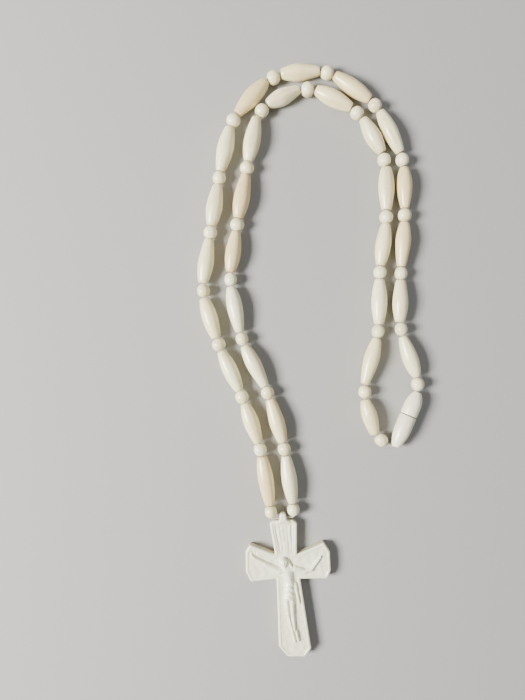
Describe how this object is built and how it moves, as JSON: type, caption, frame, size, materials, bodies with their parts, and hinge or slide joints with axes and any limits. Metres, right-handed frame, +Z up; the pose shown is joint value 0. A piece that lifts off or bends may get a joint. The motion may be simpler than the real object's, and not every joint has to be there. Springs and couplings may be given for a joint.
{
  "type": "rosary necklace",
  "caption": "Doubled-over necklace of long and small round carved beads on a thread, with a barrel clasp and a crucifix pendant.",
  "frame": {"origin": "centre of the footprint, on the surface that the necklace lies on", "axes": "+Y along the necklace's length from the cross to the arch, +Z up from that surface"},
  "size_m": [0.0738, 0.1924, 0.0056],
  "materials": {
    "bead_bone": "satin hand-polished bone, cream, with fine lengthwise grain",
    "carved_bone": "polished carved bone, near white",
    "thread": "thin twisted thread"
  },
  "bodies": {
    "cross": {"cross": "carved_bone"},
    "thread": {"thread": "thread"},
    "outer_round_1": {"outer_round_1": "bead_bone"},
    "outer_long_1": {"outer_long_1": "bead_bone"},
    "outer_round_2": {"outer_round_2": "bead_bone"},
    "outer_long_2": {"outer_long_2": "bead_bone"},
    "outer_round_3": {"outer_round_3": "bead_bone"},
    "outer_long_3": {"outer_long_3": "bead_bone"},
    "outer_long_4": {"outer_long_4": "bead_bone"},
    "outer_round_5": {"outer_round_5": "bead_bone"},
    "outer_long_5": {"outer_long_5": "bead_bone"},
    "outer_round_6": {"outer_round_6": "bead_bone"},
    "outer_long_6": {"outer_long_6": "bead_bone"},
    "outer_long_7": {"outer_long_7": "bead_bone"},
    "outer_round_8": {"outer_round_8": "bead_bone"},
    "outer_long_8": {"outer_long_8": "bead_bone"},
    "outer_round_9": {"outer_round_9": "bead_bone"},
    "outer_long_9": {"outer_long_9": "bead_bone"},
    "outer_long_10": {"outer_long_10": "bead_bone"},
    "outer_round_11": {"outer_round_11": "bead_bone"},
    "outer_long_11": {"outer_long_11": "bead_bone"},
    "outer_round_12": {"outer_round_12": "bead_bone"},
    "outer_long_12": {"outer_long_12": "bead_bone"},
    "outer_long_13": {"outer_long_13": "bead_bone"},
    "outer_round_14": {"outer_round_14": "bead_bone"},
    "outer_long_14": {"outer_long_14": "bead_bone"},
    "outer_round_15": {"outer_round_15": "bead_bone"},
    "outer_long_15": {"outer_long_15": "bead_bone"},
    "outer_round_16": {"outer_round_16": "bead_bone"},
    "clasp_socket": {"clasp_socket_half": "carved_bone"},
    "clasp_knot": {"thread_end_knot": "thread"},
    "clasp_screw": {"clasp_screw_half": "carved_bone"},
    "inner_round_1": {"inner_round_1": "bead_bone"},
    "inner_long_1": {"inner_long_1": "bead_bone"},
    "inner_round_2": {"inner_round_2": "bead_bone"},
    "inner_long_2": {"inner_long_2": "bead_bone"},
    "inner_round_3": {"inner_round_3": "bead_bone"},
    "inner_long_3": {"inner_long_3": "bead_bone"},
    "inner_long_4": {"inner_long_4": "bead_bone"},
    "inner_round_5": {"inner_round_5": "bead_bone"},
    "inner_long_5": {"inner_long_5": "bead_bone"},
    "inner_round_6": {"inner_round_6": "bead_bone"},
    "inner_long_6": {"inner_long_6": "bead_bone"},
    "inner_long_7": {"inner_long_7": "bead_bone"},
    "inner_round_8": {"inner_round_8": "bead_bone"},
    "inner_long_8": {"inner_long_8": "bead_bone"},
    "inner_round_9": {"inner_round_9": "bead_bone"},
    "inner_long_9": {"inner_long_9": "bead_bone"},
    "inner_long_10": {"inner_long_10": "bead_bone"},
    "inner_round_11": {"inner_round_11": "bead_bone"},
    "inner_long_11": {"inner_long_11": "bead_bone"},
    "inner_round_12": {"inner_round_12": "bead_bone"},
    "inner_long_12": {"inner_long_12": "bead_bone"},
    "inner_long_13": {"inner_long_13": "bead_bone"},
    "inner_round_14": {"inner_round_14": "bead_bone"},
    "inner_long_14": {"inner_long_14": "bead_bone"},
    "inner_round_15": {"inner_round_15": "bead_bone"},
    "inner_long_15": {"inner_long_15": "bead_bone"},
    "inner_round_16": {"inner_round_16": "bead_bone"}
  },
  "joints": [
    {"name": "cross_swing", "type": "hinge", "parent": "cross", "child": "thread", "pos_m": [-0.00901, -0.05088, 0.00278], "axis": [0.9951, 0.0993, 0], "range_deg": [0, 75], "deforming": ["thread"]},
    {"name": "clasp_lift", "type": "hinge", "parent": "outer_long_15", "child": "clasp_socket", "pos_m": [0.03482, -0.00777, 0.00278], "axis": [-0.9911, -0.1334, 0], "range_deg": [-40, 40]},
    {"name": "clasp_travel", "type": "slide", "parent": "clasp_socket", "child": "clasp_knot", "axis": [-0.3876, -0.9218, 0], "range_m": [0, 0.0032]},
    {"name": "clasp_turn", "type": "hinge", "parent": "clasp_knot", "child": "clasp_screw", "pos_m": [0.02945, -0.02359, 0.00278], "axis": [-0.3876, -0.9218, 0], "range_deg": [0, 1440]},
    {"name": "inner_long_1_lift", "type": "hinge", "parent": "thread", "child": "inner_long_1", "pos_m": [-0.00556, -0.04856, 0.00278], "axis": [-0.9954, -0.0963, 0], "range_deg": [-40, 40]},
    {"name": "outer_long_1_lift", "type": "hinge", "parent": "thread", "child": "outer_long_1", "pos_m": [-0.01287, -0.04927, 0.00278], "axis": [-0.9935, -0.1138, 0], "range_deg": [-40, 40]},
    {"name": "inner_long_2_lift", "type": "hinge", "parent": "inner_long_1", "child": "inner_long_2", "pos_m": [-0.00851, -0.02884, 0.00278], "axis": [0.9767, 0.2147, 0], "range_deg": [-40, 40]},
    {"name": "outer_long_2_lift", "type": "hinge", "parent": "outer_long_1", "child": "outer_long_2", "pos_m": [-0.01635, -0.02905, 0.00278], "axis": [0.9684, 0.2492, 0], "range_deg": [-40, 40]},
    {"name": "inner_long_3_lift", "type": "hinge", "parent": "inner_long_2", "child": "inner_long_3", "pos_m": [-0.01395, -0.01059, 0.00278], "axis": [-0.9291, -0.3698, 0], "range_deg": [-40, 40]},
    {"name": "outer_long_3_lift", "type": "hinge", "parent": "outer_long_2", "child": "outer_long_3", "pos_m": [-0.02225, -0.01195, 0.00278], "axis": [-0.9268, -0.3755, 0], "range_deg": [-40, 40]},
    {"name": "inner_long_4_lift", "type": "hinge", "parent": "inner_long_3", "child": "inner_long_4", "pos_m": [-0.02223, 0.00691, 0.00278], "axis": [0.9454, 0.3259, 0], "range_deg": [-40, 40]},
    {"name": "outer_long_4_lift", "type": "hinge", "parent": "outer_long_3", "child": "outer_long_4", "pos_m": [-0.02981, 0.00505, 0.00278], "axis": [0.9338, 0.3577, 0], "range_deg": [-40, 40]},
    {"name": "inner_long_5_lift", "type": "hinge", "parent": "inner_long_4", "child": "inner_long_5", "pos_m": [-0.02594, 0.02621, 0.00278], "axis": [-0.9996, -0.0269, 0], "range_deg": [-40, 40]},
    {"name": "outer_long_5_lift", "type": "hinge", "parent": "outer_long_4", "child": "outer_long_5", "pos_m": [-0.03478, 0.02254, 0.00278], "axis": [-0.9971, -0.0764, 0], "range_deg": [-40, 40]},
    {"name": "inner_long_6_lift", "type": "hinge", "parent": "inner_long_5", "child": "inner_long_6", "pos_m": [-0.02381, 0.04399, 0.00278], "axis": [0.9879, -0.1552, 0], "range_deg": [-40, 40]},
    {"name": "outer_long_6_lift", "type": "hinge", "parent": "outer_long_5", "child": "outer_long_6", "pos_m": [-0.03254, 0.04149, 0.00278], "axis": [0.9885, -0.151, 0], "range_deg": [-40, 40]},
    {"name": "inner_long_7_lift", "type": "hinge", "parent": "inner_long_6", "child": "inner_long_7", "pos_m": [-0.02063, 0.06239, 0.00278], "axis": [-0.9839, 0.1789, 0], "range_deg": [-40, 40]},
    {"name": "outer_long_7_lift", "type": "hinge", "parent": "outer_long_6", "child": "outer_long_7", "pos_m": [-0.02969, 0.05918, 0.00278], "axis": [-0.983, 0.1837, 0], "range_deg": [-40, 40]},
    {"name": "inner_long_8_lift", "type": "hinge", "parent": "inner_long_7", "child": "inner_long_8", "pos_m": [-0.01581, 0.081, 0.00278], "axis": [0.7884, -0.6151, 0], "range_deg": [-40, 40]},
    {"name": "outer_long_8_lift", "type": "hinge", "parent": "outer_long_7", "child": "outer_long_8", "pos_m": [-0.02504, 0.07789, 0.00278], "axis": [0.8907, -0.4546, 0], "range_deg": [-40, 40]},
    {"name": "inner_long_9_lift", "type": "hinge", "parent": "inner_long_8", "child": "inner_long_9", "pos_m": [-0.00098, 0.08793, 0.00278], "axis": [0.02, 0.9998, 0], "range_deg": [-40, 40]},
    {"name": "outer_long_9_lift", "type": "hinge", "parent": "outer_long_8", "child": "outer_long_9", "pos_m": [-0.01207, 0.09182, 0.00278], "axis": [-0.4423, 0.8969, 0], "range_deg": [-40, 40]},
    {"name": "inner_long_10_lift", "type": "hinge", "parent": "inner_long_9", "child": "inner_long_10", "pos_m": [0.01511, 0.08024, 0.00278], "axis": [-0.6909, -0.7229, 0], "range_deg": [-40, 40]},
    {"name": "outer_long_10_lift", "type": "hinge", "parent": "outer_long_9", "child": "outer_long_10", "pos_m": [0.0054, 0.09328, 0.00278], "axis": [-0.2626, -0.9649, 0], "range_deg": [-40, 40]},
    {"name": "inner_long_11_lift", "type": "hinge", "parent": "inner_long_10", "child": "inner_long_11", "pos_m": [0.02391, 0.06502, 0.00278], "axis": [0.9652, 0.2615, 0], "range_deg": [-40, 40]},
    {"name": "outer_long_11_lift", "type": "hinge", "parent": "outer_long_10", "child": "outer_long_11", "pos_m": [0.02095, 0.08277, 0.00278], "axis": [0.7578, 0.6525, 0], "range_deg": [-40, 40]},
    {"name": "inner_long_12_lift", "type": "hinge", "parent": "inner_long_11", "child": "inner_long_12", "pos_m": [0.02459, 0.0465, 0.00278], "axis": [-0.9983, 0.0582, 0], "range_deg": [-40, 40]},
    {"name": "outer_long_12_lift", "type": "hinge", "parent": "outer_long_11", "child": "outer_long_12", "pos_m": [0.02981, 0.06506, 0.00278], "axis": [-0.9712, -0.2383, 0], "range_deg": [-40, 40]},
    {"name": "inner_long_13_lift", "type": "hinge", "parent": "inner_long_12", "child": "inner_long_13", "pos_m": [0.02259, 0.02849, 0.00278], "axis": [0.9976, -0.0687, 0], "range_deg": [-40, 40]},
    {"name": "outer_long_13_lift", "type": "hinge", "parent": "outer_long_12", "child": "outer_long_13", "pos_m": [0.03064, 0.0471, 0.00278], "axis": [0.9997, -0.0259, 0], "range_deg": [-40, 40]},
    {"name": "inner_long_14_lift", "type": "hinge", "parent": "inner_long_13", "child": "inner_long_14", "pos_m": [0.02194, 0.00934, 0.00278], "axis": [-0.9906, 0.1368, 0], "range_deg": [-40, 40]},
    {"name": "outer_long_14_lift", "type": "hinge", "parent": "outer_long_13", "child": "outer_long_14", "pos_m": [0.02942, 0.02819, 0.00278], "axis": [-0.999, 0.0452, 0], "range_deg": [-40, 40]},
    {"name": "inner_long_15_lift", "type": "hinge", "parent": "inner_long_14", "child": "inner_long_15", "pos_m": [0.01768, -0.0103, 0.00278], "axis": [1, 0.0099, 0], "range_deg": [-40, 40]},
    {"name": "outer_long_15_lift", "type": "hinge", "parent": "outer_long_14", "child": "outer_long_15", "pos_m": [0.02949, 0.01007, 0.00278], "axis": [0.9868, 0.162, 0], "range_deg": [-40, 40]},
    {"name": "inner_round_1_spin", "type": "hinge", "parent": "thread", "child": "inner_round_1", "pos_m": [-0.00556, -0.04856, 0.00278], "axis": [-0.0963, 0.9954, 0], "continuous": true},
    {"name": "outer_round_1_spin", "type": "hinge", "parent": "thread", "child": "outer_round_1", "pos_m": [-0.01287, -0.04927, 0.00278], "axis": [-0.1138, 0.9935, 0], "continuous": true},
    {"name": "inner_round_2_spin", "type": "hinge", "parent": "inner_long_1", "child": "inner_round_2", "pos_m": [-0.00851, -0.02884, 0.00278], "axis": [-0.2147, 0.9767, 0], "continuous": true},
    {"name": "outer_round_2_spin", "type": "hinge", "parent": "outer_long_1", "child": "outer_round_2", "pos_m": [-0.01635, -0.02905, 0.00278], "axis": [-0.2492, 0.9684, 0], "continuous": true},
    {"name": "inner_round_3_spin", "type": "hinge", "parent": "inner_long_2", "child": "inner_round_3", "pos_m": [-0.01395, -0.01059, 0.00278], "axis": [-0.3698, 0.9291, 0], "continuous": true},
    {"name": "outer_round_3_spin", "type": "hinge", "parent": "outer_long_2", "child": "outer_round_3", "pos_m": [-0.02225, -0.01195, 0.00278], "axis": [-0.3755, 0.9268, 0], "continuous": true},
    {"name": "inner_round_5_spin", "type": "hinge", "parent": "inner_long_4", "child": "inner_round_5", "pos_m": [-0.02594, 0.02621, 0.00278], "axis": [-0.0269, 0.9996, 0], "continuous": true},
    {"name": "outer_round_5_spin", "type": "hinge", "parent": "outer_long_4", "child": "outer_round_5", "pos_m": [-0.03478, 0.02254, 0.00278], "axis": [-0.0764, 0.9971, 0], "continuous": true},
    {"name": "inner_round_6_spin", "type": "hinge", "parent": "inner_long_5", "child": "inner_round_6", "pos_m": [-0.02381, 0.04399, 0.00278], "axis": [0.1552, 0.9879, 0], "continuous": true},
    {"name": "outer_round_6_spin", "type": "hinge", "parent": "outer_long_5", "child": "outer_round_6", "pos_m": [-0.03254, 0.04149, 0.00278], "axis": [0.151, 0.9885, 0], "continuous": true},
    {"name": "inner_round_8_spin", "type": "hinge", "parent": "inner_long_7", "child": "inner_round_8", "pos_m": [-0.01581, 0.081, 0.00278], "axis": [0.6151, 0.7884, 0], "continuous": true},
    {"name": "outer_round_8_spin", "type": "hinge", "parent": "outer_long_7", "child": "outer_round_8", "pos_m": [-0.02504, 0.07789, 0.00278], "axis": [0.4546, 0.8907, 0], "continuous": true},
    {"name": "inner_round_9_spin", "type": "hinge", "parent": "inner_long_8", "child": "inner_round_9", "pos_m": [-0.00098, 0.08793, 0.00278], "axis": [0.9998, -0.02, 0], "continuous": true},
    {"name": "outer_round_9_spin", "type": "hinge", "parent": "outer_long_8", "child": "outer_round_9", "pos_m": [-0.01207, 0.09182, 0.00278], "axis": [0.8969, 0.4423, 0], "continuous": true},
    {"name": "inner_round_11_spin", "type": "hinge", "parent": "inner_long_10", "child": "inner_round_11", "pos_m": [0.02391, 0.06502, 0.00278], "axis": [0.2615, -0.9652, 0], "continuous": true},
    {"name": "outer_round_11_spin", "type": "hinge", "parent": "outer_long_10", "child": "outer_round_11", "pos_m": [0.02095, 0.08277, 0.00278], "axis": [0.6525, -0.7578, 0], "continuous": true},
    {"name": "inner_round_12_spin", "type": "hinge", "parent": "inner_long_11", "child": "inner_round_12", "pos_m": [0.02459, 0.0465, 0.00278], "axis": [-0.0582, -0.9983, 0], "continuous": true},
    {"name": "outer_round_12_spin", "type": "hinge", "parent": "outer_long_11", "child": "outer_round_12", "pos_m": [0.02981, 0.06506, 0.00278], "axis": [0.2383, -0.9712, 0], "continuous": true},
    {"name": "inner_round_14_spin", "type": "hinge", "parent": "inner_long_13", "child": "inner_round_14", "pos_m": [0.02194, 0.00934, 0.00278], "axis": [-0.1368, -0.9906, 0], "continuous": true},
    {"name": "outer_round_14_spin", "type": "hinge", "parent": "outer_long_13", "child": "outer_round_14", "pos_m": [0.02942, 0.02819, 0.00278], "axis": [-0.0452, -0.999, 0], "continuous": true},
    {"name": "inner_round_15_spin", "type": "hinge", "parent": "inner_long_14", "child": "inner_round_15", "pos_m": [0.01768, -0.0103, 0.00278], "axis": [0.0099, -1, 0], "continuous": true},
    {"name": "outer_round_15_spin", "type": "hinge", "parent": "outer_long_14", "child": "outer_round_15", "pos_m": [0.02949, 0.01007, 0.00278], "axis": [0.162, -0.9868, 0], "continuous": true},
    {"name": "inner_round_16_spin", "type": "hinge", "parent": "inner_long_15", "child": "inner_round_16", "pos_m": [0.02296, -0.02598, 0.00278], "axis": [0.7096, -0.7046, 0], "continuous": true},
    {"name": "outer_round_16_spin", "type": "hinge", "parent": "outer_long_15", "child": "outer_round_16", "pos_m": [0.03482, -0.00777, 0.00278], "axis": [0.1334, -0.9911, 0], "continuous": true}
  ],
  "couplings": [
    {"joint": "clasp_turn", "follows": "clasp_travel", "rad_per_m": 7854}
  ]
}
